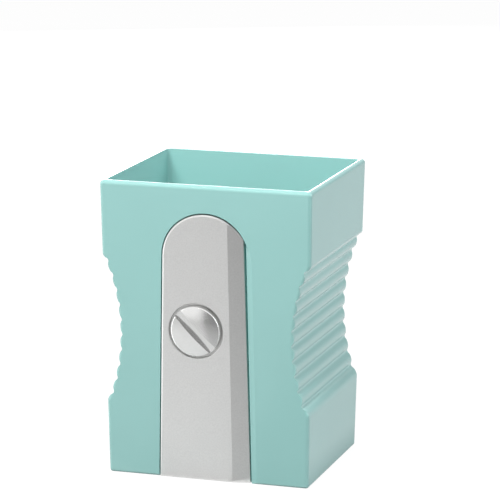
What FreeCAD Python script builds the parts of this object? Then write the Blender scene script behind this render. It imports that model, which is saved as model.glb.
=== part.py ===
"""Desk pencil pot shaped like a one-blade wedge sharpener. Millimetres, +Z up, the blade faces -Y."""
import FreeCAD
import Part
import Sketcher
import math
import os

Vector = FreeCAD.Vector

# Driving dimensions: alias, value, meaning.
DRIVING_SIZES = [
    ("body_height", 100.0, "height of the pot"),
    ("top_width", 72.5, "outside width at the rim"),
    ("top_depth", 66.6, "outside depth at the rim"),
    ("base_width", 69.3, "outside width at the table"),
    ("base_depth", 58.4, "outside depth at the table"),
    ("wall", 1.8, "thickness of the moulded walls"),
    ("corner_radius", 1.2, "rounding of the upright edges, on which the ribs run out"),
    ("inner_corner_radius", 1.5, "rounding of the upright edges inside"),
    ("rim_outer_radius", 1.3, "rounding of the rim's outer edge"),
    ("rim_inner_radius", 0.3, "rounding of the rim's inner edge"),
    ("foot_radius", 0.8, "rounding of the outside edge at the table"),
    ("waist_chord", 52.4, "height of the waist on each side"),
    ("waist_depth", 5.4, "rib crests inside the side face at mid height"),
    ("rib_count", 9, "ribs on each waist"),
    ("rib_pitch", 5.07, "spacing of the ribs along the waist"),
    ("rib_rise", 0.5, "middle of the ribs above the middle of the waist"),
    ("rib_height", 0.9, "crest to valley of the ribs"),
    ("valley_radius", 1.1, "rounding at the bottom of each valley"),
    ("top_shoulder", 2.0, "rounding where a waist meets the side face above it"),
    ("low_shoulder", 3.5, "rounding where a waist meets the side face below it"),
    ("well_blend", 4.0, "rounding of the waist's ends inside the pot"),
    ("arch_radius", 14.6, "blade's arch"),
    ("arch_below_rim", 9.6, "top of the arch below the rim, down the front"),
    ("corner_angle", 28.0, "where the arch ends on the right, degrees above level"),
    ("blade_left", 16.5, "blade's left edge at the table, from the middle"),
    ("blade_right", 14.5, "blade's right edge at the table, from the middle"),
    ("blade_lift", 0.1, "blade's foot above the table"),
    ("blade_proud", 0.4, "blade's face in front of the front face"),
    ("slant_width", 0.5, "slanting edge round the blade's face"),
    ("slant_drop", 0.25, "fall of that slanting edge"),
    ("seat_edge", 0.35, "rounding of the seat's rim"),
    ("recess_depth", 1.8, "recess for the blade, behind the front face"),
    ("blade_gap", 0.5, "gap round the blade's arch and left edge"),
    ("edge_gap", 0.6, "gap beside the blade's bevelled edge at the table"),
    ("edge_gap_head", 1.0, "gap beside the blade's bevelled edge at the arch"),
    ("gap_depth", 1.4, "groove in that gap, behind the recess's floor"),
    ("bevel_foot", 8.8, "start of the blade's bevel at the table, from the middle"),
    ("bevel_head", 7.9, "start of the blade's bevel at the arch's centre, from the middle"),
    ("bevel_angle", 14.0, "slope of the blade's bevel, degrees"),
    ("strip_width", 2.0, "sloped strip beside the blade's edge gap"),
    ("strip_lip", 1.1, "recess's side left below the sloped strip"),
    ("strip_turn", 8.0, "height of the turn at the top of the sloped strip"),
    ("pad_wall", 2.6, "wall left behind the recess"),
    ("pad_margin", 4.5, "thick wall behind the recess, past the recess's outline"),
    ("screw_offset", 3.4, "screw's axis left of the middle"),
    ("screw_below_arch", 24.7, "screw's axis below the centre of the arch, down the front"),
    ("head_diameter", 17.0, "screw's head"),
    ("head_rim", 0.8, "edge of the head in front of the blade's face"),
    ("head_dome", 1.2, "dome of the head in front of its edge"),
    ("head_edge", 0.7, "rounding of the head's edge"),
    ("head_gap", 0.8, "gap round the head in the blade's counterbore"),
    ("seat_thickness", 0.8, "blade left under the screw's head"),
    ("slot_width", 2.9, "screw's slot"),
    ("slot_depth", 0.8, "floor of the slot behind the head's edge"),
    ("slot_angle", 45.0, "fall of the slot from left to right, degrees"),
    ("shank_diameter", 6.0, "screw's shank"),
    ("shank_tail", 1.2, "shank past the retainer's teeth"),
    ("running_gap", 0.08, "clearance round the turning shank"),
    ("end_play", 0.2, "clearance under the head and under the retainer"),
    ("retainer_band", 3.0, "push-on retainer from the shank to its rim"),
    ("retainer_gauge", 0.6, "sheet of the retainer"),
    ("retainer_flat", 1.4, "flat outer ring of the retainer"),
    ("tooth_rise", 0.7, "rise of the retainer's teeth"),
    ("tooth_count", 6, "teeth of the retainer"),
    ("tooth_slit", 0.8, "slit between two teeth"),
    ("peg_diameter", 3.2, "blade's locating pegs"),
    ("peg_gap", 0.1, "clearance round a peg"),
    ("peg_low", 12.0, "lower peg above the table, up the front"),
    ("peg_below_arch", 7.0, "upper peg below the top of the arch"),
    ("stake_rim", 1.2, "melted head of a peg past the peg's side"),
    ("stake_height", 1.0, "thickness of a peg's melted head"),
    ("stake_round", 0.7, "rounding of a peg's melted head"),
    ("floor_thickness", 2.4, "base plate"),
    ("floor_ledge", 0.6, "ledge over the edge of the base plate"),
    ("floor_gap", 0.05, "clearance round the base plate"),
]

# How far a cutting shape runs past the faces that it opens.
OVERSHOOT = 5.0
# Looseness of the tests that pick edges by where they lie.
NEAR = 1e-4
# How far the cutter of the sloped strip runs out past the front face, as a share of the strip.
RUN_OUT = 0.5
# The most of a wall that the roundings of the rim's outer and inner edges may take.
OUTER_RIM_SHARE = 0.75
INNER_RIM_SHARE = 0.2
# How far the smooth waists, on which the upright edges are rounded, stay inside the ribbed ones.
SMOOTH_CHORD_MARGIN = 1.2
SMOOTH_DEPTH_MARGIN = 0.1

# Relations that several pieces share, in the sheet's names.
FRONT_LEAN = "atan((sizes.top_depth - sizes.base_depth) / (2 * sizes.body_height))"
ARCH_HEIGHT = f"(sizes.body_height / cos({FRONT_LEAN}) - sizes.arch_below_rim - sizes.arch_radius)"
BLADE_CORNER = "sizes.arch_radius * cos(sizes.corner_angle * 1 deg)"
RECESS_CORNER = f"({BLADE_CORNER} + sizes.edge_gap_head)"
RECESS_ARCH = "(sizes.arch_radius + sizes.blade_gap)"
CORNER_HEIGHT = f"({ARCH_HEIGHT} + sqrt({RECESS_ARCH} ^ 2 - {RECESS_CORNER} ^ 2))"
BLADE_CORNER_HEIGHT = f"({ARCH_HEIGHT} + sizes.arch_radius * sin(sizes.corner_angle * 1 deg))"
SEAT_DIAMETER = "(sizes.head_diameter + 2 * sizes.head_gap)"
STRIP_DEPTH = "(sizes.recess_depth - sizes.strip_lip)"
SCREW_HEIGHT = f"({ARCH_HEIGHT} - sizes.screw_below_arch)"
PEG_HIGH = f"({ARCH_HEIGHT} + sizes.arch_radius - sizes.peg_below_arch)"
BORE_DIAMETER = "sizes.shank_diameter + 2 * sizes.running_gap"
WALL_BACK = "(sizes.recess_depth + sizes.pad_wall)"
SEAT_LEVEL = "(sizes.recess_depth - sizes.seat_thickness)"
HEAD_EDGE_LEVEL = "(sizes.blade_proud + sizes.head_rim)"
RETAINER_LEVEL = f"({WALL_BACK} + sizes.end_play)"

doc = FreeCAD.newDocument("pencil_pot")
sheet = doc.addObject("Spreadsheet::Sheet", "sizes")
for row, (alias, amount, meaning) in enumerate(DRIVING_SIZES, start=1):
    sheet.set(f"A{row}", meaning)
    sheet.set(f"B{row}", str(amount))
    sheet.setAlias(f"B{row}", alias)
doc.recompute()


def value(expression):
    """Number that an expression on the sheet gives."""
    result = sheet.evalExpression(expression)
    return float(getattr(result, "Value", result))


def size(name):
    """One driving dimension."""
    return value(f"sizes.{name}")


def bind(item, **expressions):
    """Bind properties to the sheet. Two underscores stand for a dot."""
    for name, expression in expressions.items():
        item.setExpression(name.replace("__", "."), expression)


def new_body(name):
    """Empty body in the frame of the table."""
    return doc.addObject("PartDesign::Body", name)


def new_front_body(name):
    """Empty body in the frame of the leaning front face: x right, z up the face, y into the pot."""
    body = new_body(name)
    body.Placement.Rotation = FreeCAD.Rotation(Vector(1, 0, 0), 1)
    bind(body, Placement__Base__y="-sizes.base_depth / 2", Placement__Rotation__Angle=FRONT_LEAN)
    return body


def attach(body, item, role):
    """Put an item of a body on one of the body's origin planes."""
    plane = next(feature for feature in body.Origin.OriginFeatures if feature.Role == role)
    item.AttachmentSupport = [(plane, "")]
    item.MapMode = "FlatFace"


def new_sketch(body, role, name, **offsets):
    """Sketch on one of a body's origin planes, moved by expressions along the plane's own x, y and z."""
    sketch = body.newObject("Sketcher::SketchObject", name)
    attach(body, sketch, role)
    for axis, expression in offsets.items():
        sketch.setExpression(f"AttachmentOffset.Base.{axis}", expression)
    return sketch


def front_sketch(body, name, depth, **offsets):
    """Sketch parallel to the front face, a depth behind it."""
    return new_sketch(body, "XZ_Plane", name, z=f"-({depth})", **offsets)


def screw_sketch(body, name):
    """Sketch through the screw's axis: x into the pot along the axis, y away from it."""
    return new_sketch(body, "YZ_Plane", name, y=SCREW_HEIGHT, z="-sizes.screw_offset")


def screw_face_sketch(body, name, depth):
    """Sketch square to the screw's axis and centred on it, a depth behind the front face."""
    return front_sketch(body, name, depth, x="-sizes.screw_offset", y=SCREW_HEIGHT)


def dimension(sketch, expression, *constraint):
    """Add a constraint whose value is bound to the sheet."""
    index = sketch.addConstraint(Sketcher.Constraint(*constraint, value(expression)))
    sketch.setExpression(f"Constraints[{index}]", expression)


def hold(sketch, element, end, direction, expression):
    """Fix one coordinate of a point of a sketch element, measured from the sketch's origin."""
    amount = value(expression)
    if abs(amount) < NEAR:
        origin_axis = {"X": -2, "Y": -1}[direction]
        sketch.addConstraint(Sketcher.Constraint("PointOnObject", element, end, origin_axis))
    elif amount > 0:
        dimension(sketch, expression, f"Distance{direction}", -1, 1, element, end)
    else:
        dimension(sketch, f"-({expression})", f"Distance{direction}", element, end, -1, 1)


def pin(sketch, element, end, x, y):
    """Fix a point of a sketch element by expressions for its place."""
    hold(sketch, element, end, "X", x)
    hold(sketch, element, end, "Y", y)


def join(sketch, kind, element, following):
    """Tie the end of one sketch element to the start of another, with kind Coincident or Tangent."""
    sketch.addConstraint(Sketcher.Constraint(kind, element, 2, following, 1))


def at(x, y):
    """Point of a sketch, from two expressions."""
    return Vector(value(x), value(y), 0)


def polygon(sketch, corners):
    """Closed loop of straight lines through corners given as pairs of expressions."""
    places = [at(*corner) for corner in corners]
    lines = [sketch.addGeometry(Part.LineSegment(*ends)) for ends in zip(places, places[1:] + places[:1])]
    for line, following, corner in zip(lines, lines[1:] + lines[:1], corners):
        join(sketch, "Coincident", line, following)
        pin(sketch, line, 1, *corner)


def rectangle(sketch, left, right, low, high):
    """Rectangle from the places of its sides."""
    polygon(sketch, [(left, low), (right, low), (right, high), (left, high)])


def circle(sketch, diameter, x="0", y="0"):
    """Circle with its centre at a place."""
    ring = sketch.addGeometry(Part.Circle(at(x, y), Vector(0, 0, 1), value(diameter) / 2))
    pin(sketch, ring, 3, x, y)
    dimension(sketch, diameter, "Diameter", ring)


def arc(sketch, centre, start, end):
    """Arc that runs anticlockwise round a centre from one point to another."""
    ring = Part.Circle(centre, Vector(0, 0, 1), (start - centre).Length)
    return sketch.addGeometry(Part.ArcOfCircle(ring, ring.parameter(start), ring.parameter(end)))


def solid_feature(body, kind, name, sketch, **expressions):
    """Feature made from one sketch, with its lengths bound to the sheet."""
    item = body.newObject(f"PartDesign::{kind}", name)
    item.Profile = sketch
    bind(item, **expressions)
    return item


def pad_inwards(body, name, sketch, length):
    """Pad from a sketch parallel to the front face towards the inside of the pot."""
    solid_feature(body, "Pad", name, sketch, Length=length).Reversed = True


def turned(body, name, sketch):
    """Solid turned round the screw's axis."""
    solid_feature(body, "Revolution", name, sketch).ReferenceAxis = (sketch, ["H_Axis"])


def edge_points(edge):
    """Both ends and the middle of an edge."""
    first, last = edge.ParameterRange
    return [edge.valueAt(parameter) for parameter in (first, (first + last) / 2, last)]


def edges_where(body, chosen):
    """The body's last feature, and the names of its edges that a test on their points picks."""
    doc.recompute()
    edges = body.Tip.Shape.Edges
    return body.Tip, [f"Edge{i}" for i, edge in enumerate(edges, start=1) if chosen(edge_points(edge))]


def round_edges(body, name, radius, chosen):
    """Fillet the edges that a test picks."""
    edges = edges_where(body, chosen)
    fillet = body.newObject("PartDesign::Fillet", name)
    fillet.Base = edges
    bind(fillet, Radius=radius)


def level_with(points, axis, level):
    """True where all points have one coordinate at a level."""
    return all(abs(getattr(point, axis) - level) < NEAR for point in points)


def half_side(across, level, shrink):
    """Expression for half the outside width or depth at a level, less a wall."""
    spread = f"(sizes.top_{across} - sizes.base_{across})"
    return f"((sizes.base_{across} + {spread} * ({level}) / sizes.body_height) / 2 - {shrink})"


def tapered_block(body, low, high, shrink):
    """Block between two levels that follows the outside faces, less a wall."""
    block = body.newObject("PartDesign::AdditiveWedge", "block")
    attach(body, block, "XZ_Plane")
    bind(block, Ymin=low, Ymax=high)
    for level, order in ((low, ""), (high, "2")):
        x = half_side("width", level, shrink)
        y = half_side("depth", level, shrink)
        bind(block, **{f"X{order}min": f"-{x}", f"X{order}max": x, f"Z{order}min": f"-{y}", f"Z{order}max": y})


def runs_up_front_or_back(points, shrink):
    """True for points of an edge that runs up the front or back face of a tapered block."""
    half_depths = [value(half_side("depth", point.z, shrink)) for point in points]
    on_face = all(abs(abs(point.y) - half) < NEAR for point, half in zip(points, half_depths))
    return on_face and not level_with(points, "z", points[0].z)


class WaistFrame:
    """Frame of one waist's arc: centre beside the pot, d towards the pot and t up the side face."""

    def __init__(self, side):
        lean = math.atan((size("top_width") - size("base_width")) / 2 / size("body_height"))
        half_chord = size("waist_chord") / 2
        depth = size("waist_depth")
        self.crest_radius = (half_chord ** 2 + depth ** 2) / (2 * depth)
        self.outer_face = self.crest_radius - depth
        self.inner_face = self.outer_face + size("wall") * math.cos(lean)
        self.out = Vector(side * math.cos(lean), -math.sin(lean), 0)
        self.up = Vector(side * math.sin(lean), math.cos(lean), 0)
        middle = Vector(side * (size("top_width") + size("base_width")) / 4, size("body_height") / 2, 0)
        self.centre = middle + self.out * self.outer_face

    def place(self, d, t):
        """Point of the frame on a sketch in the XZ plane."""
        return self.centre - self.out * d + self.up * t


def shoulder_circle(frame, radius, valley, side):
    """Circle that touches a waist's side face, and its last valley above (side 1) or below (side -1)."""
    d, t, valley_radius = valley
    level = frame.outer_face + radius
    return level, t + side * math.sqrt((radius + valley_radius) ** 2 - (level - d) ** 2), radius


def ribbed_circles(frame):
    """Circles of a ribbed waist as d, t and radius, downwards: shoulder, valleys and crests, shoulder."""
    crest = frame.crest_radius
    count = int(size("rib_count"))
    half_step = size("rib_pitch") / crest / 2
    rise = size("rib_rise") / crest
    valley_radius = size("valley_radius")
    reach = crest + size("rib_height") - valley_radius
    between = crest ** 2 + reach ** 2 - 2 * crest * reach * math.cos(half_step)
    slack = valley_radius + reach * math.cos(half_step) - crest
    rib_radius = (between - valley_radius ** 2) / (2 * slack)
    circles = []
    for step in range(count, -count - 1, -1):
        is_valley = (count - step) % 2 == 0
        distance, radius = (reach, valley_radius) if is_valley else (crest + rib_radius, rib_radius)
        angle = step * half_step + rise
        circles.append((distance * math.cos(angle), distance * math.sin(angle), radius))
    top = shoulder_circle(frame, size("top_shoulder"), circles[0], 1)
    low = shoulder_circle(frame, size("low_shoulder"), circles[-1], -1)
    return [top] + circles + [low]


def plain_circles(face, middle, bulge, blend):
    """Circles of a waist without ribs as d, t and radius: blend on a face, bulge, blend."""
    level = face + blend
    height = math.sqrt((bulge + blend) ** 2 - (level - middle) ** 2)
    return [(level, height, blend), (middle, 0, bulge), (level, -height, blend)]


def smooth_circles(frame):
    """Circles of a waist without ribs that stays just outside the ribs."""
    half_chord = size("waist_chord") / 2 - SMOOTH_CHORD_MARGIN
    depth = size("waist_depth") - SMOOTH_DEPTH_MARGIN
    bulge = (half_chord ** 2 + depth ** 2) / (2 * depth)
    return plain_circles(frame.outer_face, frame.outer_face + depth - bulge, bulge, size("top_shoulder"))


def inner_circles(frame):
    """Circles of the inside of a waist, one wall behind the valleys."""
    bulge = frame.crest_radius + size("rib_height") + size("wall")
    return plain_circles(frame.inner_face, 0, bulge, size("well_blend"))


def cut_waist(body, name, frame, face, circles):
    """Cut along y, up to a chain of touching circles that starts and ends on a side face."""
    centres = [frame.place(d, t) for d, t, radius in circles]
    radii = [radius for d, t, radius in circles]
    top = frame.place(face, circles[0][1])
    bottom = frame.place(face, circles[-1][1])
    joints = [top]
    for i in range(len(circles) - 1):
        joints.append(centres[i] + (centres[i + 1] - centres[i]) * (radii[i] / (radii[i] + radii[i + 1])))
    joints.append(bottom)
    sketch = new_sketch(body, "XZ_Plane", f"{name}_outline")
    for centre, radius, start, end in zip(centres, radii, joints, joints[1:]):
        towards = (start + end) * 0.5 - centre
        towards.normalize()
        sketch.addGeometry(Part.Arc(start, centre + towards * radius, end))
    beside = [bottom, bottom + frame.out * OVERSHOOT, top + frame.out * OVERSHOOT, top]
    for ends in zip(beside, beside[1:]):
        sketch.addGeometry(Part.LineSegment(*ends))
    pocket = solid_feature(body, "Pocket", name, sketch)
    pocket.SideType = "Symmetric"
    pocket.Type = "ThroughAll"


def blade_outline(sketch, gap, foot_gap, head_gap, foot):
    """Arch-topped outline of the blade, grown by a gap, and by two others at the ends of its right edge."""
    radius = f"(sizes.arch_radius + {gap})"
    corner_x = f"({BLADE_CORNER} + {head_gap})"
    left_x = f"-(sizes.blade_left + {gap})"
    right_x = f"sizes.blade_right + {foot_gap}"
    spring = at(f"-{radius}", ARCH_HEIGHT)
    corner = at(corner_x, f"{ARCH_HEIGHT} + sqrt({radius} ^ 2 - {corner_x} ^ 2)")
    arch = arc(sketch, at("0", ARCH_HEIGHT), corner, spring)
    left = sketch.addGeometry(Part.LineSegment(spring, at(left_x, foot)))
    low = sketch.addGeometry(Part.LineSegment(at(left_x, foot), at(right_x, foot)))
    right = sketch.addGeometry(Part.LineSegment(at(right_x, foot), corner))
    join(sketch, "Tangent", arch, left)
    join(sketch, "Coincident", left, low)
    join(sketch, "Coincident", low, right)
    join(sketch, "Coincident", right, arch)
    sketch.addConstraint(Sketcher.Constraint("Horizontal", low))
    hold(sketch, low, 1, "Y", foot)
    hold(sketch, right, 2, "X", corner_x)
    pin(sketch, arch, 3, "0", ARCH_HEIGHT)
    dimension(sketch, radius, "Radius", arch)
    for line, x in ((left, left_x), (right, right_x)):
        mark = sketch.addGeometry(Part.Point(at(x, "0")), True)
        pin(sketch, mark, 1, x, "0")
        sketch.addConstraint(Sketcher.Constraint("PointOnObject", mark, 1, line))


def right_edge(foot_x, corner_x, corner_height, height):
    """Expression for the place of an edge at a height, from its places at the table and at its corner."""
    return f"({foot_x} - ({foot_x} - {corner_x}) / {corner_height} * ({height}))"


def recess_edge(height):
    """Expression for the right edge of the blade's recess at a height."""
    return right_edge("(sizes.blade_right + sizes.edge_gap)", RECESS_CORNER, CORNER_HEIGHT, height)


def strip_outline(sketch, share, turn):
    """Outline of the recess's right side and of a share of the sloped strip beside it.

    The turn at the strip's top is a line, or an arc that leaves the strip's edge smoothly.
    """
    foot = f"-{OVERSHOOT}"
    turn_height = f"({CORNER_HEIGHT} - sizes.strip_turn)"
    corners = [("0", foot), (f"{recess_edge(foot)} + {share} * sizes.strip_width", foot),
               (f"{recess_edge(turn_height)} + {share} * sizes.strip_width", turn_height),
               (RECESS_CORNER, CORNER_HEIGHT), ("0", CORNER_HEIGHT)]
    places = [at(*corner) for corner in corners]
    elements = []
    for start, end in zip(places, places[1:] + places[:1]):
        if turn == "arc" and start is places[2]:
            radius = (end - start).Length ** 2 / (2 * (start.x - end.x))
            elements.append(arc(sketch, start - Vector(radius, 0, 0), start, end))
        else:
            elements.append(sketch.addGeometry(Part.LineSegment(start, end)))
    joints = ["Coincident", "Tangent" if turn == "arc" else "Coincident"] + ["Coincident"] * 3
    for element, following, corner, joint in zip(elements, elements[1:] + elements[:1], corners, joints):
        join(sketch, joint, element, following)
        pin(sketch, element, 1, *corner)


def make_outside():
    """Solid outside form of the pot: tapered block, waists, rounded upright edges, then the ribs."""
    body = new_body("outside_form")
    tapered_block(body, "0", "sizes.body_height", "0")
    frames = {"right": WaistFrame(1), "left": WaistFrame(-1)}
    for name, frame in frames.items():
        cut_waist(body, f"{name}_waist", frame, frame.outer_face, smooth_circles(frame))
    round_edges(body, "upright_edges", "sizes.corner_radius",
                lambda points: runs_up_front_or_back(points, "0"))
    round_edges(body, "foot_edges", "sizes.foot_radius", lambda points: level_with(points, "z", 0))
    for name, frame in frames.items():
        cut_waist(body, f"{name}_ribs", frame, frame.outer_face, ribbed_circles(frame))
    return body


def make_well():
    """Hollow of the pot from the base plate to past the rim, with a flat pad of wall behind the recess."""
    hollow = new_body("well_form")
    tapered_block(hollow, "sizes.floor_thickness", f"(sizes.body_height + {OVERSHOOT})", "sizes.wall")
    for side, name in ((1, "right_bulge"), (-1, "left_bulge")):
        frame = WaistFrame(side)
        cut_waist(hollow, name, frame, frame.inner_face, inner_circles(frame))
    round_edges(hollow, "well_edges", "sizes.inner_corner_radius",
                lambda points: runs_up_front_or_back(points, "sizes.wall"))
    pad = new_front_body("pad_form")
    sketch = front_sketch(pad, "pad_outline", WALL_BACK)
    gaps = [f"(sizes.{name} + sizes.pad_margin)" for name in ("blade_gap", "edge_gap", "edge_gap_head")]
    blade_outline(sketch, *gaps, f"-{OVERSHOOT}")
    solid_feature(pad, "Pad", "pad", sketch, Length=f"{WALL_BACK} + {OVERSHOOT}")
    well = doc.addObject("Part::Cut", "well")
    well.Base = hollow
    well.Tool = pad
    return well


def make_front_cut():
    """Everything cut into the front wall: blade recess, edge groove, sloped strip and bores."""
    body = new_front_body("front_cut")
    foot = f"-{OVERSHOOT}"
    sketch = front_sketch(body, "recess_outline", "sizes.recess_depth")
    blade_outline(sketch, "sizes.blade_gap", "sizes.edge_gap", "sizes.edge_gap_head", foot)
    solid_feature(body, "Pad", "recess", sketch, Length=f"sizes.recess_depth + {OVERSHOOT}")
    groove = front_sketch(body, "groove_outline", "sizes.recess_depth")
    blade_foot = right_edge("sizes.blade_right", BLADE_CORNER, BLADE_CORNER_HEIGHT, foot)
    polygon(groove, [(blade_foot, foot), (recess_edge(foot), foot), (RECESS_CORNER, CORNER_HEIGHT),
                     (BLADE_CORNER, BLADE_CORNER_HEIGHT)])
    pad_inwards(body, "edge_groove", groove, "sizes.gap_depth")
    outer = front_sketch(body, "strip_front", f"-{RUN_OUT} * {STRIP_DEPTH}")
    strip_outline(outer, 1 + RUN_OUT, "arc")
    inner = front_sketch(body, "strip_back", STRIP_DEPTH)
    strip_outline(inner, 0, "line")
    strip = body.newObject("PartDesign::AdditiveLoft", "strip")
    strip.Profile = outer
    strip.Sections = [inner]
    strip.Ruled = True
    bores = front_sketch(body, "bore_circles", "sizes.recess_depth")
    circle(bores, BORE_DIAMETER, "-sizes.screw_offset", SCREW_HEIGHT)
    for height in ("sizes.peg_low", PEG_HIGH):
        circle(bores, "sizes.peg_diameter + 2 * sizes.peg_gap", "0", height)
    pad_inwards(body, "bores", bores, f"sizes.pad_wall + {OVERSHOOT}")
    return body


def floor_outline(sketch, gap):
    """Outline of the base plate, grown by a gap. Its front edge stays behind the blade's recess."""
    x = f"(sizes.base_width / 2 - sizes.wall + sizes.floor_ledge + {gap})"
    back = f"sizes.base_depth / 2 - sizes.wall + sizes.floor_ledge + {gap}"
    front = f"-(sizes.base_depth / 2 - {WALL_BACK} + sizes.floor_ledge + {gap})"
    rectangle(sketch, f"-{x}", x, front, back)


def make_floor(name, gap, low):
    """Block of the base plate's outline from a level to the ledge, with round corners."""
    body = new_body(name)
    sketch = new_sketch(body, "XY_Plane", "floor_outline", z=low)
    floor_outline(sketch, gap)
    solid_feature(body, "Pad", "floor", sketch, Length=f"sizes.floor_thickness - ({low})")
    round_edges(body, "floor_corners", f"sizes.inner_corner_radius + sizes.floor_ledge + {gap}",
                lambda points: not level_with(points, "z", points[0].z))
    return body


def on_rim(points):
    """True where all points lie at the level of the rim."""
    return level_with(points, "z", size("body_height"))


def over_well(point):
    """True for a point of the rim that is nearer to the well than to the outside."""
    from_side = size("top_width") / 2 - abs(point.x)
    from_front_or_back = size("top_depth") / 2 - abs(point.y)
    return min(from_side, from_front_or_back) > size("wall") / 2


def make_body_shell():
    """The moulded pot: its outside less the well, the front cuts and the rebate for the base plate."""
    outside = make_outside()
    hollows = doc.addObject("Part::MultiFuse", "hollows")
    rebate = make_floor("floor_rebate", "sizes.floor_gap", f"-{OVERSHOOT}")
    hollows.Shapes = [make_well(), make_front_cut(), rebate]
    shell = doc.addObject("Part::Cut", "cut_shell")
    shell.Base = outside
    shell.Tool = hollows
    doc.recompute()
    body = new_body("body_shell")
    body.BaseFeature = shell
    round_edges(body, "rim_outside", f"min(sizes.rim_outer_radius; {OUTER_RIM_SHARE} * sizes.wall)",
                lambda points: on_rim(points) and not any(map(over_well, points)))
    round_edges(body, "rim_inside", f"min(sizes.rim_inner_radius; {INNER_RIM_SHARE} * sizes.wall)",
                lambda points: on_rim(points) and all(map(over_well, points)))
    return body


def on_seat_rim(points):
    """True for the edge of the screw's seat on the blade's face."""
    axis = Vector(-size("screw_offset"), -size("blade_proud"), value(SCREW_HEIGHT))
    return all(abs((point - axis).Length - value(SEAT_DIAMETER) / 2) < NEAR for point in points)


def make_blade_plate():
    """The blade: arch-topped plate with a bevelled right edge, a seat for the screw and two staked pegs."""
    body = new_front_body("blade_plate")
    slant_level = "(sizes.slant_drop - sizes.blade_proud)"
    outline = front_sketch(body, "blade_outline", "sizes.recess_depth")
    blade_outline(outline, "0", "0", "0", "sizes.blade_lift")
    solid_feature(body, "Pad", "plate", outline, Length=f"sizes.recess_depth - {slant_level}")
    slant = front_sketch(body, "slant_outline", slant_level)
    blade_outline(slant, "0", "0", "0", "sizes.blade_lift")
    solid_feature(body, "Pad", "slant", slant, Length="sizes.slant_drop",
                  TaperAngle="-atan(sizes.slant_width / sizes.slant_drop)")
    wedge = new_sketch(body, "XY_Plane", "bevel_outline", x="sizes.bevel_foot", y="-sizes.blade_proud")
    wedge.AttachmentOffset.Rotation = FreeCAD.Rotation(Vector(0, -1, 0), 1)
    bevel_lean = f"atan((sizes.bevel_foot - sizes.bevel_head) / {ARCH_HEIGHT})"
    bind(wedge, AttachmentOffset__Rotation__Angle=bevel_lean)
    reach = "2 * (sizes.blade_right - sizes.bevel_foot)"
    polygon(wedge, [("0", "0"), (reach, "0"), (reach, f"{reach} * tan(sizes.bevel_angle * 1 deg)")])
    bevel = solid_feature(body, "Pocket", "bevel", wedge)
    bevel.SideType = "Symmetric"
    bevel.Type = "ThroughAll"
    seat = screw_face_sketch(body, "seat_circle", "-sizes.blade_proud")
    circle(seat, SEAT_DIAMETER)
    solid_feature(body, "Pocket", "seat", seat, Length=f"sizes.blade_proud + {SEAT_LEVEL}")
    bore = screw_face_sketch(body, "bore_circle", "0")
    circle(bore, BORE_DIAMETER)
    solid_feature(body, "Pocket", "bore", bore).Type = "ThroughAll"
    round_edges(body, "seat_edge", "sizes.seat_edge", on_seat_rim)
    for height, name in (("sizes.peg_low", "low"), (PEG_HIGH, "high")):
        peg = front_sketch(body, f"{name}_peg_circle", "sizes.recess_depth", y=height)
        circle(peg, "sizes.peg_diameter")
        pad_inwards(body, f"{name}_peg", peg, "sizes.pad_wall")
        stake = front_sketch(body, f"{name}_stake_circle", WALL_BACK, y=height)
        circle(stake, "sizes.peg_diameter + 2 * sizes.stake_rim")
        pad_inwards(body, f"{name}_stake", stake, "sizes.stake_height")
    inside = value(f"{WALL_BACK} + sizes.stake_height")
    round_edges(body, "stake_domes", "sizes.stake_round", lambda points: level_with(points, "y", inside))
    return body


def make_blade_screw():
    """The screw: domed head with a slot, and a plain shank that turns in the blade and the wall."""
    body = new_front_body("blade_screw")
    sketch = screw_sketch(body, "screw_outline")
    edge = f"-{HEAD_EDGE_LEVEL}"
    under = f"{SEAT_LEVEL} - sizes.end_play"
    tail = f"{RETAINER_LEVEL} + sizes.retainer_gauge + sizes.tooth_rise + sizes.shank_tail"
    corners = [(f"{edge} - sizes.head_dome", "0"), (tail, "0"), (tail, "sizes.shank_diameter / 2"),
               (under, "sizes.shank_diameter / 2"), (under, "sizes.head_diameter / 2"),
               (edge, "sizes.head_diameter / 2")]
    places = [at(*corner) for corner in corners]
    elements = [sketch.addGeometry(Part.LineSegment(*ends)) for ends in zip(places, places[1:])]
    half = size("head_diameter") / 2
    dome_radius = (half ** 2 + size("head_dome") ** 2) / (2 * size("head_dome"))
    elements.append(arc(sketch, places[0] + Vector(dome_radius, 0, 0), places[-1], places[0]))
    for element, following, corner in zip(elements, elements[1:] + elements[:1], corners):
        join(sketch, "Coincident", element, following)
        pin(sketch, element, 1, *corner)
    hold(sketch, elements[-1], 3, "Y", "0")
    turned(body, "screw", sketch)
    round_edges(body, "head_edge", "sizes.head_edge", lambda points: level_with(points, "y", value(edge)))
    slot = screw_face_sketch(body, "slot_outline", f"{edge} - sizes.head_dome")
    slot.AttachmentOffset.Rotation = FreeCAD.Rotation(Vector(0, 0, -1), 1)
    bind(slot, AttachmentOffset__Rotation__Angle="sizes.slot_angle")
    half_slot = "sizes.slot_width / 2"
    rectangle(slot, "-sizes.head_diameter", "sizes.head_diameter", f"-{half_slot}", half_slot)
    solid_feature(body, "Pocket", "slot", slot, Length="sizes.head_dome + sizes.slot_depth")
    return body


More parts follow.
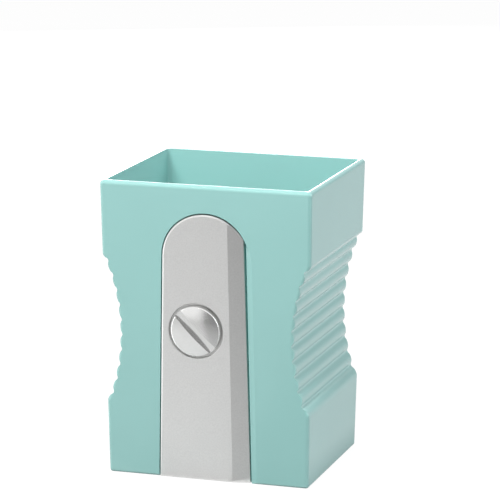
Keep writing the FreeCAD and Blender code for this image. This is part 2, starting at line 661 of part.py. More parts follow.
def make_screw_retainer():
    """Push-on spring washer that grips the shank behind the wall: flat ring and slit cone of teeth."""
    body = new_front_body("screw_retainer")
    sketch = screw_sketch(body, "retainer_outline")
    front = RETAINER_LEVEL
    back = f"{RETAINER_LEVEL} + sizes.retainer_gauge"
    grip = "sizes.shank_diameter / 2"
    rim = f"({grip} + sizes.retainer_band)"
    fold = f"{rim} - sizes.retainer_flat"
    polygon(sketch, [(front, rim), (front, fold), (f"{front} + sizes.tooth_rise", grip),
                     (f"{back} + sizes.tooth_rise", grip), (back, fold), (back, rim)])
    turned(body, "washer", sketch)
    slit = screw_face_sketch(body, "slit_outline", front)
    rectangle(slit, "0", fold, "-sizes.tooth_slit / 2", "sizes.tooth_slit / 2")
    cut = solid_feature(body, "Pocket", "slit", slit)
    cut.SideType = "Symmetric"
    cut.Type = "ThroughAll"
    teeth = body.newObject("PartDesign::PolarPattern", "teeth")
    teeth.Originals = [cut]
    teeth.Axis = (slit, ["N_Axis"])
    teeth.Angle = 360
    bind(teeth, Occurrences="sizes.tooth_count")
    body.Tip = teeth
    return body


pieces = [
    make_body_shell(),
    make_floor("base_plate", "0", "0"),
    make_blade_plate(),
    make_blade_screw(),
    make_screw_retainer(),
]
doc.recompute()

for item in doc.Objects:
    if "Invalid" in item.State or "Error" in item.State:
        raise RuntimeError(f"{item.Label} failed: {item.State}")
for piece in pieces:
    if piece.Shape.isNull() or not piece.Shape.isValid() or len(piece.Shape.Solids) != 1:
        raise RuntimeError(f"{piece.Label} isn't one sound solid")

os.makedirs("parts", exist_ok=True)
for piece in pieces:
    piece.Shape.exportStep(f"parts/{piece.Label}.step")
    box = piece.Shape.optimalBoundingBox()
    print(f"{piece.Label}: {piece.Shape.Volume:.1f} mm3, x {box.XMin:.2f} to {box.XMax:.2f}, "
          f"y {box.YMin:.2f} to {box.YMax:.2f}, z {box.ZMin:.2f} to {box.ZMax:.2f}")
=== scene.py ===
"""Looks of a desk pencil pot in the shape of a one-blade wedge sharpener.

Metres, with +Z up. The blade faces -Y.
"""

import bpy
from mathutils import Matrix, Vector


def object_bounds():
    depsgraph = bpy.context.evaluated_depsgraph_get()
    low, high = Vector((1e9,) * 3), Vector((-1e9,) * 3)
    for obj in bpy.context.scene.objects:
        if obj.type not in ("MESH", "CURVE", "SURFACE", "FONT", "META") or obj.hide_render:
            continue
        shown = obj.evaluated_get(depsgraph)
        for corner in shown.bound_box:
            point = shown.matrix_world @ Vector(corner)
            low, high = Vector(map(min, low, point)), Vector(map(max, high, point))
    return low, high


bl_info = {
    "name": "Pencil Pot Looks",
    "version": (1, 0, 0),
    "blender": (4, 5, 0),
    "location": "View3D > Sidebar > Pencil Pot",
    "description": "Finishes, studio light and camera for a moulded desk pencil pot",
    "category": "Material",
}

import math

import bpy
from bpy.props import FloatProperty, FloatVectorProperty, PointerProperty
from mathutils import Matrix, Vector

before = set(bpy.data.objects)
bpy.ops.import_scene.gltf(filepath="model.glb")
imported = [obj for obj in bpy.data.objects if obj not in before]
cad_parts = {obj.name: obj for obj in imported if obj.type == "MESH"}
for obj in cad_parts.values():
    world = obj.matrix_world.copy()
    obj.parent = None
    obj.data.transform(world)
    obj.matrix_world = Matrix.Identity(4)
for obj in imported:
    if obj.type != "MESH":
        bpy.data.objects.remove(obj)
cad_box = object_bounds()

WHITE = (1.0, 1.0, 1.0)
# Width of the camera's sensor, in millimetres.
SENSOR_WIDTH = 36.0
# Nearest distance that the camera shows, in metres.
NEAREST_VIEW = 0.01
# Height of the gloss-only felt and cards that paint reflections on the pot, above the floor that they lie on,
# in metres.
SHEET_LIFT = 0.0005
# Layers of ever finer waves in each noise.
NOISE_DETAIL = 3.0
# Faces of a mesh that has only four corners.
QUAD = [(0, 1, 2, 3)]
# Rays that show the background: from the camera, in gloss and through clear pieces.
SHOWING_RAYS = ("Is Camera Ray", "Is Glossy Ray", "Is Transmission Ray")


class MintSettings(bpy.types.PropertyGroup):
    """Moulded mint plastic of the pot and its base."""

    colour: FloatVectorProperty(
        name="Colour", description="Colour of the plastic", subtype="COLOR", size=4,
        min=0.0, max=1.0, default=(0.325, 0.612, 0.583, 1.0))
    cloud_size: FloatProperty(
        name="Cloud size", description="Size of the faint clouds in the colour", unit="LENGTH", default=0.030)
    cloud_swing: FloatProperty(
        name="Cloud swing", description="How much the clouds darken and lighten the colour", default=0.03)
    roughness: FloatProperty(
        name="Roughness", description="Mean roughness of the moulded skin", subtype="FACTOR",
        min=0.0, max=1.0, default=0.15)
    roughness_swing: FloatProperty(
        name="Roughness swing", description="How much the roughness changes over the skin", default=0.06)
    patch_size: FloatProperty(
        name="Patch size", description="Size of the patches of roughness", unit="LENGTH", default=0.0128)
    refraction: FloatProperty(
        name="Refraction", description="Index of refraction of the plastic", default=1.59)
    skin_size: FloatProperty(
        name="Skin size", description="Size of the waves in the moulded skin", unit="LENGTH", default=0.0032)
    skin_height: FloatProperty(
        name="Skin height", description="Height of the waves in the moulded skin", unit="LENGTH",
        default=0.000006)


class PlateSettings(bpy.types.PropertyGroup):
    """Satin silver paint of the blade."""

    colour: FloatVectorProperty(
        name="Colour", description="Colour of the paint", subtype="COLOR", size=4,
        min=0.0, max=1.0, default=(0.76, 0.76, 0.75, 1.0))
    metal: FloatProperty(
        name="Metal", description="How metallic the paint is", subtype="FACTOR",
        min=0.0, max=1.0, default=0.75)
    roughness: FloatProperty(
        name="Roughness", description="Mean roughness of the paint", subtype="FACTOR",
        min=0.0, max=1.0, default=0.34)
    roughness_swing: FloatProperty(
        name="Roughness swing", description="How much the roughness changes over the paint", default=0.06)
    patch_size: FloatProperty(
        name="Patch size", description="Size of the patches of roughness", unit="LENGTH", default=0.00135)
    flake_size: FloatProperty(
        name="Flake size", description="Size of the flakes in the paint", unit="LENGTH", default=0.00045)
    flake_swing: FloatProperty(
        name="Flake swing", description="How much the flakes darken and lighten the colour", default=0.10)
    flake_height: FloatProperty(
        name="Flake height", description="Height of the flakes in the paint", unit="LENGTH", default=0.000010)


class ScrewSettings(bpy.types.PropertyGroup):
    """Metallised coat of the screw."""

    colour: FloatVectorProperty(
        name="Colour", description="Colour of the coat", subtype="COLOR", size=4,
        min=0.0, max=1.0, default=(0.84, 0.84, 0.83, 1.0))
    metal: FloatProperty(
        name="Metal", description="How metallic the coat is", subtype="FACTOR",
        min=0.0, max=1.0, default=0.9)
    roughness: FloatProperty(
        name="Roughness", description="Mean roughness of the coat", subtype="FACTOR",
        min=0.0, max=1.0, default=0.22)
    roughness_swing: FloatProperty(
        name="Roughness swing", description="How much the roughness changes over the coat", default=0.05)
    patch_size: FloatProperty(
        name="Patch size", description="Size of the patches of roughness", unit="LENGTH", default=0.0024)
    grain_size: FloatProperty(
        name="Grain size", description="Size of the grain in the coat", unit="LENGTH", default=0.0006)
    grain_swing: FloatProperty(
        name="Grain swing", description="How much the grain darkens and lightens the colour", default=0.06)
    grain_height: FloatProperty(
        name="Grain height", description="Height of the grain in the coat", unit="LENGTH", default=0.000006)


class RetainerSettings(bpy.types.PropertyGroup):
    """Spring steel of the push-on retainer."""

    colour: FloatVectorProperty(
        name="Colour", description="Colour of the steel", subtype="COLOR", size=4,
        min=0.0, max=1.0, default=(0.50, 0.50, 0.51, 1.0))
    roughness: FloatProperty(
        name="Roughness", description="Mean roughness of the rolled sheet", subtype="FACTOR",
        min=0.0, max=1.0, default=0.35)
    roughness_swing: FloatProperty(
        name="Roughness swing", description="How much the roughness changes over the sheet", default=0.08)
    patch_size: FloatProperty(
        name="Patch size", description="Size of the patches of roughness", unit="LENGTH", default=0.0005)
    grain_size: FloatProperty(
        name="Grain size", description="Size of the grain of the sheet", unit="LENGTH", default=0.00025)
    grain_swing: FloatProperty(
        name="Grain swing", description="How much the grain darkens and lightens the colour", default=0.12)


class CameraSettings(bpy.types.PropertyGroup):
    """Place and lens of the camera."""

    azimuth: FloatProperty(
        name="Azimuth", description="Camera to the right of the pot's front", subtype="ANGLE",
        default=math.radians(17.3149))
    elevation: FloatProperty(
        name="Elevation", description="Camera above the pot", subtype="ANGLE", default=math.radians(11.8027))
    roll: FloatProperty(
        name="Roll", description="Turn of the camera about its own axis", subtype="ANGLE",
        default=math.radians(0.2294))
    distance: FloatProperty(
        name="Distance", description="Camera from the point that it aims at", unit="LENGTH", default=1.007953)
    aim_right: FloatProperty(
        name="Aim right", description="Aim right of the pot's middle", unit="LENGTH", default=0.0051343)
    aim_up: FloatProperty(
        name="Aim up", description="Aim above the pot's middle", unit="LENGTH", default=0.0218274)
    lens: FloatProperty(
        name="Lens", description="Focal length of the camera", unit="CAMERA", default=214.789)


class StageSettings(bpy.types.PropertyGroup):
    """Floor, studio light, and the felt and cards that only gloss sees, which paint reflections, a highlight
    and a shadow on the pot.
    """

    floor_size: FloatProperty(
        name="Floor size", description="Side of the square floor", unit="LENGTH", default=8.0)
    floor_grey: FloatProperty(
        name="Floor grey", description="Lightness of the floor where it shows the pot's shadow",
        subtype="FACTOR", min=0.0, max=1.0, default=0.8)
    floor_glow: FloatProperty(name="Floor glow", description="Brightness of the white floor", default=1.08)
    floor_bounce: FloatProperty(
        name="Floor bounce", description="How much light the floor sends back to the pot", subtype="FACTOR",
        min=0.0, max=1.0, default=0.28)
    shadow_share: FloatProperty(
        name="Shadow share", description="How much of the pot's shadow the white floor shows",
        subtype="FACTOR", min=0.0, max=1.0, default=0.12)
    gloss_shadow_share: FloatProperty(
        name="Gloss shadow share", description="How much of the pot's shadow the gloss of the pot shows",
        subtype="FACTOR", min=0.0, max=1.0, default=0.35)
    world_strength: FloatProperty(
        name="World strength", description="Even light from all round", default=0.24)
    key_place: FloatVectorProperty(
        name="Key place", description="Soft box above the front", subtype="TRANSLATION", unit="LENGTH",
        default=(-0.12, -0.46, 0.58))
    key_size: FloatProperty(
        name="Key size", description="Side of the key light", unit="LENGTH", default=0.35)
    key_power: FloatProperty(
        name="Key power", description="Power of the key light", subtype="POWER", default=5.4)
    fill_place: FloatVectorProperty(
        name="Fill place", description="Soft box above the right side", subtype="TRANSLATION", unit="LENGTH",
        default=(0.85, 0.10, 0.42))
    fill_size: FloatProperty(
        name="Fill size", description="Side of the fill light", unit="LENGTH", default=0.5)
    fill_power: FloatProperty(
        name="Fill power", description="Power of the fill light", subtype="POWER", default=3.9)
    fill_colour: FloatVectorProperty(
        name="Fill colour", description="Slightly cool colour of the fill light", subtype="COLOR", size=3,
        min=0.0, max=1.0, default=(0.94, 0.97, 1.0))
    side_place: FloatVectorProperty(
        name="Side place", description="Soft box on the left", subtype="TRANSLATION", unit="LENGTH",
        default=(-0.90, 0.10, 0.35))
    side_size: FloatProperty(
        name="Side size", description="Side of the left light", unit="LENGTH", default=0.8)
    side_power: FloatProperty(
        name="Side power", description="Power of the left light", subtype="POWER", default=3.0)
    back_place: FloatVectorProperty(
        name="Back place", description="Low soft box behind the pot", subtype="TRANSLATION", unit="LENGTH",
        default=(-0.45, 0.95, 0.26))
    back_size: FloatProperty(
        name="Back size", description="Side of the back light", unit="LENGTH", default=0.5)
    back_power: FloatProperty(
        name="Back power", description="Power of the back light", subtype="POWER", default=6.0)
    # The grey card is seen only in gloss: a painted darker reflection in the upper flanks of the ribs.
    grey_card_painted_reflection_place: FloatVectorProperty(
        name="Grey card place", description="Grey card behind the right side, from the pot's middle", size=2,
        unit="LENGTH", default=(0.50, 1.2))
    grey_card_painted_reflection_width: FloatProperty(
        name="Grey card width", description="Width of the grey card", unit="LENGTH", default=0.6)
    grey_card_painted_reflection_edges: FloatVectorProperty(
        name="Grey card edges", description="Lower and upper edge of the grey card", size=2, unit="LENGTH",
        default=(0.08, 0.5))
    grey_card_painted_reflection_glow: FloatProperty(
        name="Grey card glow", description="Brightness of the grey card in gloss", default=0.65)
    # The white card is seen only in gloss: its glow paints a highlight along the blade's left edge.
    white_card_painted_highlight_ends: FloatVectorProperty(
        name="White card ends", description="Near and far end of the white card, left of the pot's middle",
        size=2, unit="LENGTH", default=(0.07, 0.90))
    white_card_painted_highlight_front: FloatVectorProperty(
        name="White card front", description="Front edge of the white card at its near and far end", size=2,
        unit="LENGTH", default=(-0.05, -0.45))
    white_card_painted_highlight_back: FloatProperty(
        name="White card back", description="Back edge of the white card", unit="LENGTH", default=0.02)
    white_card_painted_highlight_glow: FloatProperty(
        name="White card glow", description="Brightness of the white card in gloss", default=1.9)
    # The foot card is seen only in gloss: painted shadow in the reflection at the foot of the pot's right
    # side, darkest at its inner edge.
    foot_card_painted_shadow_start: FloatProperty(
        name="Foot card start", description="Inner edge of the card at the right foot, from the pot's middle",
        unit="LENGTH", default=0.0347)
    foot_card_painted_shadow_width: FloatProperty(
        name="Foot card width", description="Width of the card at the right foot", unit="LENGTH",
        default=0.0095)
    foot_card_painted_shadow_ends: FloatVectorProperty(
        name="Foot card ends", description="Front and back end of the card at the right foot", size=2,
        unit="LENGTH", default=(-0.04, 0.06))
    foot_card_painted_shadow_glow: FloatVectorProperty(
        name="Foot card glow", description="Brightness of the card at its inner and outer edge in gloss",
        size=2, default=(0.6, 1.05))
    # The felt below is seen only in gloss. It paints reflections on the blade: the pale felt puts a grey
    # reflection on its face, and the dark felt puts painted shade on its bevel.
    painted_reflection_felt_near: FloatProperty(
        name="Felt near", description="Near end of the felt, in front of the pot's middle", unit="LENGTH",
        default=0.030)
    painted_reflection_felt_far: FloatProperty(
        name="Felt far", description="Far end of the felt, in front of the pot's middle", unit="LENGTH",
        default=0.7)
    painted_reflection_felt_corners: FloatVectorProperty(
        name="Felt corners", description="Near corners of the pale and dark felt, from the pot's middle",
        unit="LENGTH", default=(-0.020, 0.008, 0.032))
    painted_reflection_felt_borders: FloatVectorProperty(
        name="Felt borders", description="Directions of the borders of the pale and dark felt",
        subtype="EULER", default=(math.radians(-60.0), math.radians(-7.0), math.radians(55.0)))
    painted_reflection_felt_fade: FloatProperty(
        name="Felt fade", description="Distance over which the felt changes its lightness", unit="LENGTH",
        default=0.27)
    pale_felt_painted_reflection: FloatVectorProperty(
        name="Pale felt", description="Lightness of the felt in front of the blade's face, near and far",
        size=2, min=0.0, max=1.0, default=(0.63, 0.40))
    pale_felt_painted_reflection_height: FloatProperty(
        name="Pale felt height", description="Height of the pale felt's upright end", unit="LENGTH",
        default=0.02)
    dark_felt_painted_reflection: FloatVectorProperty(
        name="Dark felt", description="Lightness of the felt in front of the blade's bevel, near and far",
        size=2, min=0.0, max=1.0, default=(0.40, 0.17))
    dark_felt_painted_reflection_height: FloatProperty(
        name="Dark felt height", description="Height of the dark felt's upright end", unit="LENGTH",
        default=0.45)


class PencilPotSettings(bpy.types.PropertyGroup):
    """All settings of the pencil pot."""

    mint: PointerProperty(type=MintSettings)
    plate: PointerProperty(type=PlateSettings)
    screw: PointerProperty(type=ScrewSettings)
    retainer: PointerProperty(type=RetainerSettings)
    camera: PointerProperty(type=CameraSettings)
    stage: PointerProperty(type=StageSettings)


class NodeSheet:
    """Node tree of one material or world, with short ways to add and link nodes."""

    def __init__(self, owner):
        owner.use_nodes = True
        self.tree = owner.node_tree
        self.tree.nodes.clear()

    def add(self, kind, **values):
        """New node. A value that is an output socket is linked, and any other is set."""
        node = self.tree.nodes.new(kind)
        for name, value in values.items():
            self.feed(node, name, value)
        return node

    def feed(self, node, name, value):
        """Give one property or input of a node its value or its link."""
        if hasattr(node, name):
            setattr(node, name, value)
            return
        socket = node.inputs[name.replace("_", " ")]
        if isinstance(value, bpy.types.NodeSocket):
            self.tree.links.new(value, socket)
        else:
            socket.default_value = value

    def join(self, kind, *sources, **values):
        """New node whose first inputs are linked to these sockets, in order. Gives its first output."""
        node = self.add(kind, **values)
        for source, socket in zip(sources, node.inputs):
            self.tree.links.new(source, socket)
        return node.outputs[0]

    def place(self):
        """Where a point is on its piece, in metres."""
        return self.add("ShaderNodeTexCoord").outputs["Object"]

    def along(self, axis):
        """Where a point is on its piece along one axis, in metres."""
        return self.add("ShaderNodeSeparateXYZ", Vector=self.place()).outputs[axis]

    def noise(self, size):
        """Noise from 0 to 1 whose waves have a size in metres."""
        node = self.add("ShaderNodeTexNoise", Vector=self.place(), Scale=1.0 / size, Detail=NOISE_DETAIL)
        return node.outputs["Fac"]

    def spread(self, factor, low, high, end=1.0):
        """Range of a factor, from 0 to its end, moved to another range."""
        return self.add(
            "ShaderNodeMapRange", Value=factor, From_Max=end, To_Min=low, To_Max=high).outputs["Result"]

    def vary(self, size, mean, swing):
        """Value that swings about its mean in waves of a size in metres."""
        return self.spread(self.noise(size), mean - swing, mean + swing)

    def tint(self, colour, size, swing):
        """Colour that swings darker and lighter in waves of a size in metres."""
        node = self.add("ShaderNodeMix", data_type="RGBA", blend_type="MULTIPLY")
        node.inputs["Factor"].default_value = 1.0
        colour_sockets = [socket for socket in node.inputs if socket.type == "RGBA"]
        colour_sockets[0].default_value = colour
        self.tree.links.new(self.vary(size, 1.0, swing), colour_sockets[1])
        return next(socket for socket in node.outputs if socket.type == "RGBA")

    def bump(self, size, height):
        """Normal of a surface with waves of a size and height in metres."""
        return self.add(
            "ShaderNodeBump", Strength=1.0, Distance=height, Height=self.noise(size)).outputs["Normal"]

    def rays(self, *kinds):
        """Factor that is 1 for rays of any of these kinds."""
        outputs = self.add("ShaderNodeLightPath").outputs
        factor = outputs[kinds[0]]
        for kind in kinds[1:]:
            factor = self.join("ShaderNodeMath", factor, outputs[kind], operation="MAXIMUM")
        return factor

    def glow(self, strength):
        """Shader that gives white light of a strength."""
        return self.add("ShaderNodeEmission", Color=(*WHITE, 1.0), Strength=strength).outputs[0]

    def output(self, shader, kind="ShaderNodeOutputMaterial"):
        """Link a shader to the tree's output."""
        self.tree.links.new(shader, self.add(kind).inputs["Surface"])


def surface(name, **values):
    """Material with one Principled shader.

    Each value is a number, or a function that makes a socket in the material's tree.
    """
    material = bpy.data.materials.new(name)
    sheet = NodeSheet(material)
    shader = sheet.add("ShaderNodeBsdfPrincipled")
    for socket, value in values.items():
        sheet.feed(shader, socket, value(sheet) if callable(value) else value)
    sheet.output(shader.outputs["BSDF"])
    return material


def mint_plastic(mint):
    """Semi-gloss moulded plastic: faint clouds in the colour and a slightly wavy skin."""
    return surface(
        "mint_plastic_moulded",
        Base_Color=lambda sheet: sheet.tint(mint.colour, mint.cloud_size, mint.cloud_swing),
        Roughness=lambda sheet: sheet.vary(mint.patch_size, mint.roughness, mint.roughness_swing),
        IOR=mint.refraction,
        Normal=lambda sheet: sheet.bump(mint.skin_size, mint.skin_height),
    )


def silver_paint(plate):
    """Satin silver paint: fine flakes in colour, roughness and relief."""
    return surface(
        "silver_plate_paint",
        Base_Color=lambda sheet: sheet.tint(plate.colour, plate.flake_size, plate.flake_swing),
        Metallic=plate.metal,
        Roughness=lambda sheet: sheet.vary(plate.patch_size, plate.roughness, plate.roughness_swing),
        Normal=lambda sheet: sheet.bump(plate.flake_size, plate.flake_height),
    )


def metallised_coat(screw):
    """Bright metallised coat with a fine grain."""
    return surface(
        "silver_screw_coat",
        Base_Color=lambda sheet: sheet.tint(screw.colour, screw.grain_size, screw.grain_swing),
        Metallic=screw.metal,
        Roughness=lambda sheet: sheet.vary(screw.patch_size, screw.roughness, screw.roughness_swing),
        Normal=lambda sheet: sheet.bump(screw.grain_size, screw.grain_height),
    )


def spring_steel(retainer):
    """Rolled spring steel with a fine grain in colour and roughness."""
    return surface(
        "spring_steel_sheet",
        Base_Color=lambda sheet: sheet.tint(retainer.colour, retainer.grain_size, retainer.grain_swing),
        Metallic=1.0,
        Roughness=lambda sheet: sheet.vary(retainer.patch_size, retainer.roughness, retainer.roughness_swing),
    )


def dress(node, material):
    """Give one CAD node its finish."""
    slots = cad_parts[node].data.materials
    slots.clear()
    slots.append(material)


class PENCILPOT_OT_body_shell(bpy.types.Operator):
    """Finish the moulded pot"""

    bl_idname = "pencilpot.body_shell"
    bl_label = "Body shell"

    def execute(self, context):
        dress("body_shell", mint_plastic(context.scene.pencil_pot.mint))
        return {"FINISHED"}


class PENCILPOT_OT_base_plate(bpy.types.Operator):
    """Finish the floor of the pot"""

    bl_idname = "pencilpot.base_plate"
    bl_label = "Base plate"

    def execute(self, context):
        dress("base_plate", mint_plastic(context.scene.pencil_pot.mint))
        return {"FINISHED"}


class PENCILPOT_OT_blade_plate(bpy.types.Operator):
    """Finish the blade"""

    bl_idname = "pencilpot.blade_plate"
    bl_label = "Blade plate"

    def execute(self, context):
        dress("blade_plate", silver_paint(context.scene.pencil_pot.plate))
        return {"FINISHED"}


class PENCILPOT_OT_blade_screw(bpy.types.Operator):
    """Finish the screw in the blade"""

    bl_idname = "pencilpot.blade_screw"
    bl_label = "Blade screw"

    def execute(self, context):
        dress("blade_screw", metallised_coat(context.scene.pencil_pot.screw))
        return {"FINISHED"}


class PENCILPOT_OT_screw_retainer(bpy.types.Operator):
    """Finish the retainer behind the front wall"""

    bl_idname = "pencilpot.screw_retainer"
    bl_label = "Screw retainer"

    def execute(self, context):
        dress("screw_retainer", spring_steel(context.scene.pencil_pot.retainer))
        return {"FINISHED"}


def add_object(name, data, matrix=Matrix.Identity(4)):
    """New object of the scene at a place."""
    item = bpy.data.objects.new(name, data)
    bpy.context.scene.collection.objects.link(item)
    item.matrix_world = matrix
    return item


def soft_box(name, power, size, place, target, colour=WHITE, in_gloss=True):
    """Square area light that shines at a target, shown in gloss or hidden from it."""
    light = bpy.data.lights.new(name, "AREA")
    light.energy = power
    light.color = colour
    light.shape = "SQUARE"
    light.size = size
    turn = (Vector(place) - target).to_track_quat("Z", "Y")
    lamp = add_object(name, light, Matrix.Translation(place) @ turn.to_matrix().to_4x4())
    lamp.visible_glossy = in_gloss


def make_camera(settings, middle):
    """Camera that looks at a point near the pot's middle."""
    back = Vector((math.sin(settings.azimuth) * math.cos(settings.elevation),
                   -math.cos(settings.azimuth) * math.cos(settings.elevation),
                   math.sin(settings.elevation)))
    level = Vector((math.cos(settings.azimuth), math.sin(settings.azimuth), 0.0))
    roll = Matrix.Rotation(settings.roll, 3, back)
    right = roll @ level
    up = roll @ back.cross(level)
    place = middle + right * settings.aim_right + up * settings.aim_up + back * settings.distance
    lens = bpy.data.cameras.new("camera")
    lens.lens = settings.lens
    lens.sensor_width = SENSOR_WIDTH
    lens.clip_start = NEAREST_VIEW
    turn = Matrix((right, up, back)).transposed().to_4x4()
    bpy.context.scene.camera = add_object("camera", lens, Matrix.Translation(place) @ turn)


def make_world(settings):
    """Even studio light, with a white background for the rays that show it."""
    world = bpy.data.worlds.new("studio")
    bpy.context.scene.world = world
    sheet = NodeSheet(world)
    strength = sheet.spread(sheet.rays(*SHOWING_RAYS), settings.world_strength, 1.0)
    light = sheet.add("ShaderNodeBackground", Color=(*WHITE, 1.0), Strength=strength)
    sheet.output(light.outputs[0], "ShaderNodeOutputWorld")


def make_floor(settings):
    """White floor that keeps a faint share of the pot's shadow."""
    half = settings.floor_size / 2
    corners = [(-half, -half, 0.0), (half, -half, 0.0), (half, half, 0.0), (-half, half, 0.0)]
    mesh = bpy.data.meshes.new("floor")
    mesh.from_pydata(corners, [], QUAD)
    material = bpy.data.materials.new("floor_white")
    sheet = NodeSheet(material)
    lightness = sheet.spread(sheet.rays(*SHOWING_RAYS), settings.floor_bounce, settings.floor_grey)
    matt = sheet.add("ShaderNodeBsdfDiffuse", Color=lightness).outputs[0]
    glow = sheet.glow(settings.floor_glow)
    in_view = sheet.spread(sheet.rays("Is Camera Ray"), 0.0, 1.0 - settings.shadow_share)
    in_gloss = sheet.spread(
        sheet.rays("Is Glossy Ray", "Is Transmission Ray"), 0.0, 1.0 - settings.gloss_shadow_share)
    share = sheet.join("ShaderNodeMath", in_view, in_gloss, operation="ADD")
    sheet.output(sheet.join("ShaderNodeMixShader", share, matt, glow))
    mesh.materials.append(material)
    add_object("floor", mesh)


def gloss_only(name, corners, faces, material, place=(0.0, 0.0, 0.0)):
    """Sheet of the stage that only gloss sees, so it paints a reflection on the pot."""
    mesh = bpy.data.meshes.new(name)
    mesh.from_pydata(corners, [], faces)
    mesh.materials.append(material)
    item = add_object(name, mesh, Matrix.Translation(place))
    item.visible_camera = False
    item.visible_diffuse = False
    item.visible_shadow = False
    item.visible_transmission = False


def make_painted_reflection_felt(name, settings, first, painted_reflection_greys, height):
    """Grey felt on the floor in front of the pot, and upright at its far end, that only gloss sees: a painted
    reflection on the blade's face and painted shade on its bevel.

    It lies between the settings' border with the number first and the next one.
    """
    starts = settings.painted_reflection_felt_corners[first:first + 2]
    borders = settings.painted_reflection_felt_borders[first:first + 2]
    reach = settings.painted_reflection_felt_far - settings.painted_reflection_felt_near
    corners = [(start, 0.0, 0.0) for start in starts]
    for z in (0.0, height):
        corners += [(start + reach * math.tan(border), -reach, z) for start, border in zip(starts, borders)]
    on_floor = (0, 1, 3, 2)
    upright = (2, 3, 5, 4)
    material = bpy.data.materials.new(name)
    sheet = NodeSheet(material)
    # Painted reflection: the felt is lighter near the pot and darker far from it.
    lightness = sheet.spread(sheet.along("Y"), painted_reflection_greys[0], painted_reflection_greys[1], -settings.painted_reflection_felt_fade)
    sheet.output(sheet.add("ShaderNodeBsdfDiffuse", Color=lightness).outputs[0])
    place = (0.0, -settings.painted_reflection_felt_near, SHEET_LIFT)
    gloss_only(name, corners, [on_floor, upright], material, place)


def make_painted_reflection_card(name, corners, glow, place=(0.0, 0.0, 0.0)):
    """Card that only gloss sees, so its glow paints a reflection on the pot. The glow is a number, or a
    function that makes a socket in the card's tree.
    """
    material = bpy.data.materials.new(name)
    sheet = NodeSheet(material)
    sheet.output(sheet.glow(glow(sheet) if callable(glow) else glow))
    gloss_only(name, corners, QUAD, material, place)


def make_grey_card_painted_reflection(settings):
    """Upright grey card far behind the right side, that only gloss sees: a painted darker reflection in the
    upper flanks of the ribs.
    """
    x, y = settings.grey_card_painted_reflection_place
    half = settings.grey_card_painted_reflection_width / 2
    low, high = settings.grey_card_painted_reflection_edges
    corners = [(x - half, y, low), (x + half, y, low), (x + half, y, high), (x - half, y, high)]
    make_painted_reflection_card("grey_card_painted_reflection", corners, settings.grey_card_painted_reflection_glow)


def make_white_card_painted_highlight(settings):
    """White card that lies on the floor on the left, that only gloss sees: its glow paints a highlight along
    the blade's left edge.
    """
    near, far = settings.white_card_painted_highlight_ends
    near_front, far_front = settings.white_card_painted_highlight_front
    outline = [(-far, far_front), (-near, near_front), (-near, settings.white_card_painted_highlight_back),
               (-far, settings.white_card_painted_highlight_back)]
    make_painted_reflection_card("white_card_painted_highlight", [(x, y, SHEET_LIFT) for x, y in outline], settings.white_card_painted_highlight_glow)


def make_foot_card_painted_shadow(settings):
    """Card on the floor along the right foot, that only gloss sees, dark at its inner edge: painted shadow in
    the reflection at the foot of the pot's right side.
    """
    front, back = settings.foot_card_painted_shadow_ends
    width = settings.foot_card_painted_shadow_width
    corners = [(0.0, front, 0.0), (width, front, 0.0), (width, back, 0.0), (0.0, back, 0.0)]
    make_painted_reflection_card(
        "foot_card_painted_shadow", corners,
        # Painted shadow: dark at the inner edge, light at the outer edge.
        lambda sheet: sheet.spread(sheet.along("X"), *settings.foot_card_painted_shadow_glow, width),
        (settings.foot_card_painted_shadow_start, 0.0, SHEET_LIFT))


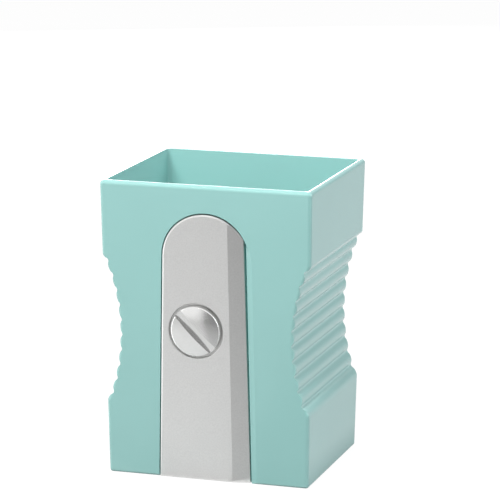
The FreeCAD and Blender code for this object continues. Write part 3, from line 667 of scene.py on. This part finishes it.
class PENCILPOT_OT_stage(bpy.types.Operator):
    """Set up the camera, the floor, the studio light and the gloss-only sheets that paint reflections on the
    pot
    """

    bl_idname = "pencilpot.stage"
    bl_label = "Stage"

    def execute(self, context):
        stage = context.scene.pencil_pot.stage
        low, high = (Vector(corner) for corner in cad_box)
        middle = Vector((0.0, 0.0, (low.z + high.z) / 2))
        make_camera(context.scene.pencil_pot.camera, middle)
        make_world(stage)
        make_floor(stage)
        # Gloss-only felt: painted reflection on the blade's face and painted shade on its bevel.
        make_painted_reflection_felt("pale_felt_painted_reflection", stage, 0, stage.pale_felt_painted_reflection, stage.pale_felt_painted_reflection_height)
        make_painted_reflection_felt("dark_felt_painted_reflection", stage, 1, stage.dark_felt_painted_reflection, stage.dark_felt_painted_reflection_height)
        # Painted darker reflection in the ribs.
        make_grey_card_painted_reflection(stage)
        # Painted highlight on the blade's left edge.
        make_white_card_painted_highlight(stage)
        # Painted shadow in the reflection at the right foot.
        make_foot_card_painted_shadow(stage)
        # In gloss the key light would burn out the blade's slanting edge.
        soft_box("key_light", stage.key_power, stage.key_size, stage.key_place, middle, in_gloss=False)
        soft_box("fill_light", stage.fill_power, stage.fill_size, stage.fill_place, middle, stage.fill_colour)
        soft_box("side_light", stage.side_power, stage.side_size, stage.side_place, middle)
        soft_box("back_light", stage.back_power, stage.back_size, stage.back_place, middle)
        context.scene.view_settings.view_transform = "Standard"
        return {"FINISHED"}


class PENCILPOT_PT_sidebar(bpy.types.Panel):
    """Operators of the pencil pot, in the order in which they run"""

    bl_label = "Pencil Pot"
    bl_idname = "PENCILPOT_PT_sidebar"
    bl_space_type = "VIEW_3D"
    bl_region_type = "UI"
    bl_category = "Pencil Pot"

    def draw(self, context):
        for operator in OPERATORS:
            self.layout.operator(operator.bl_idname)


OPERATORS = (
    PENCILPOT_OT_body_shell,
    PENCILPOT_OT_base_plate,
    PENCILPOT_OT_blade_plate,
    PENCILPOT_OT_blade_screw,
    PENCILPOT_OT_screw_retainer,
    PENCILPOT_OT_stage,
)

CLASSES = (
    MintSettings,
    PlateSettings,
    ScrewSettings,
    RetainerSettings,
    CameraSettings,
    StageSettings,
    PencilPotSettings,
    *OPERATORS,
    PENCILPOT_PT_sidebar,
)


def register():
    """Add the classes and the settings to Blender."""
    for kind in CLASSES:
        bpy.utils.register_class(kind)
    bpy.types.Scene.pencil_pot = PointerProperty(type=PencilPotSettings)


def unregister():
    """Take the settings and the classes out of Blender."""
    del bpy.types.Scene.pencil_pot
    for kind in reversed(CLASSES):
        bpy.utils.unregister_class(kind)


def main():
    register()
    bpy.ops.pencilpot.body_shell()
    bpy.ops.pencilpot.base_plate()
    bpy.ops.pencilpot.blade_plate()
    bpy.ops.pencilpot.blade_screw()
    bpy.ops.pencilpot.screw_retainer()
    bpy.ops.pencilpot.stage()


if __name__ == "__main__":
    main()
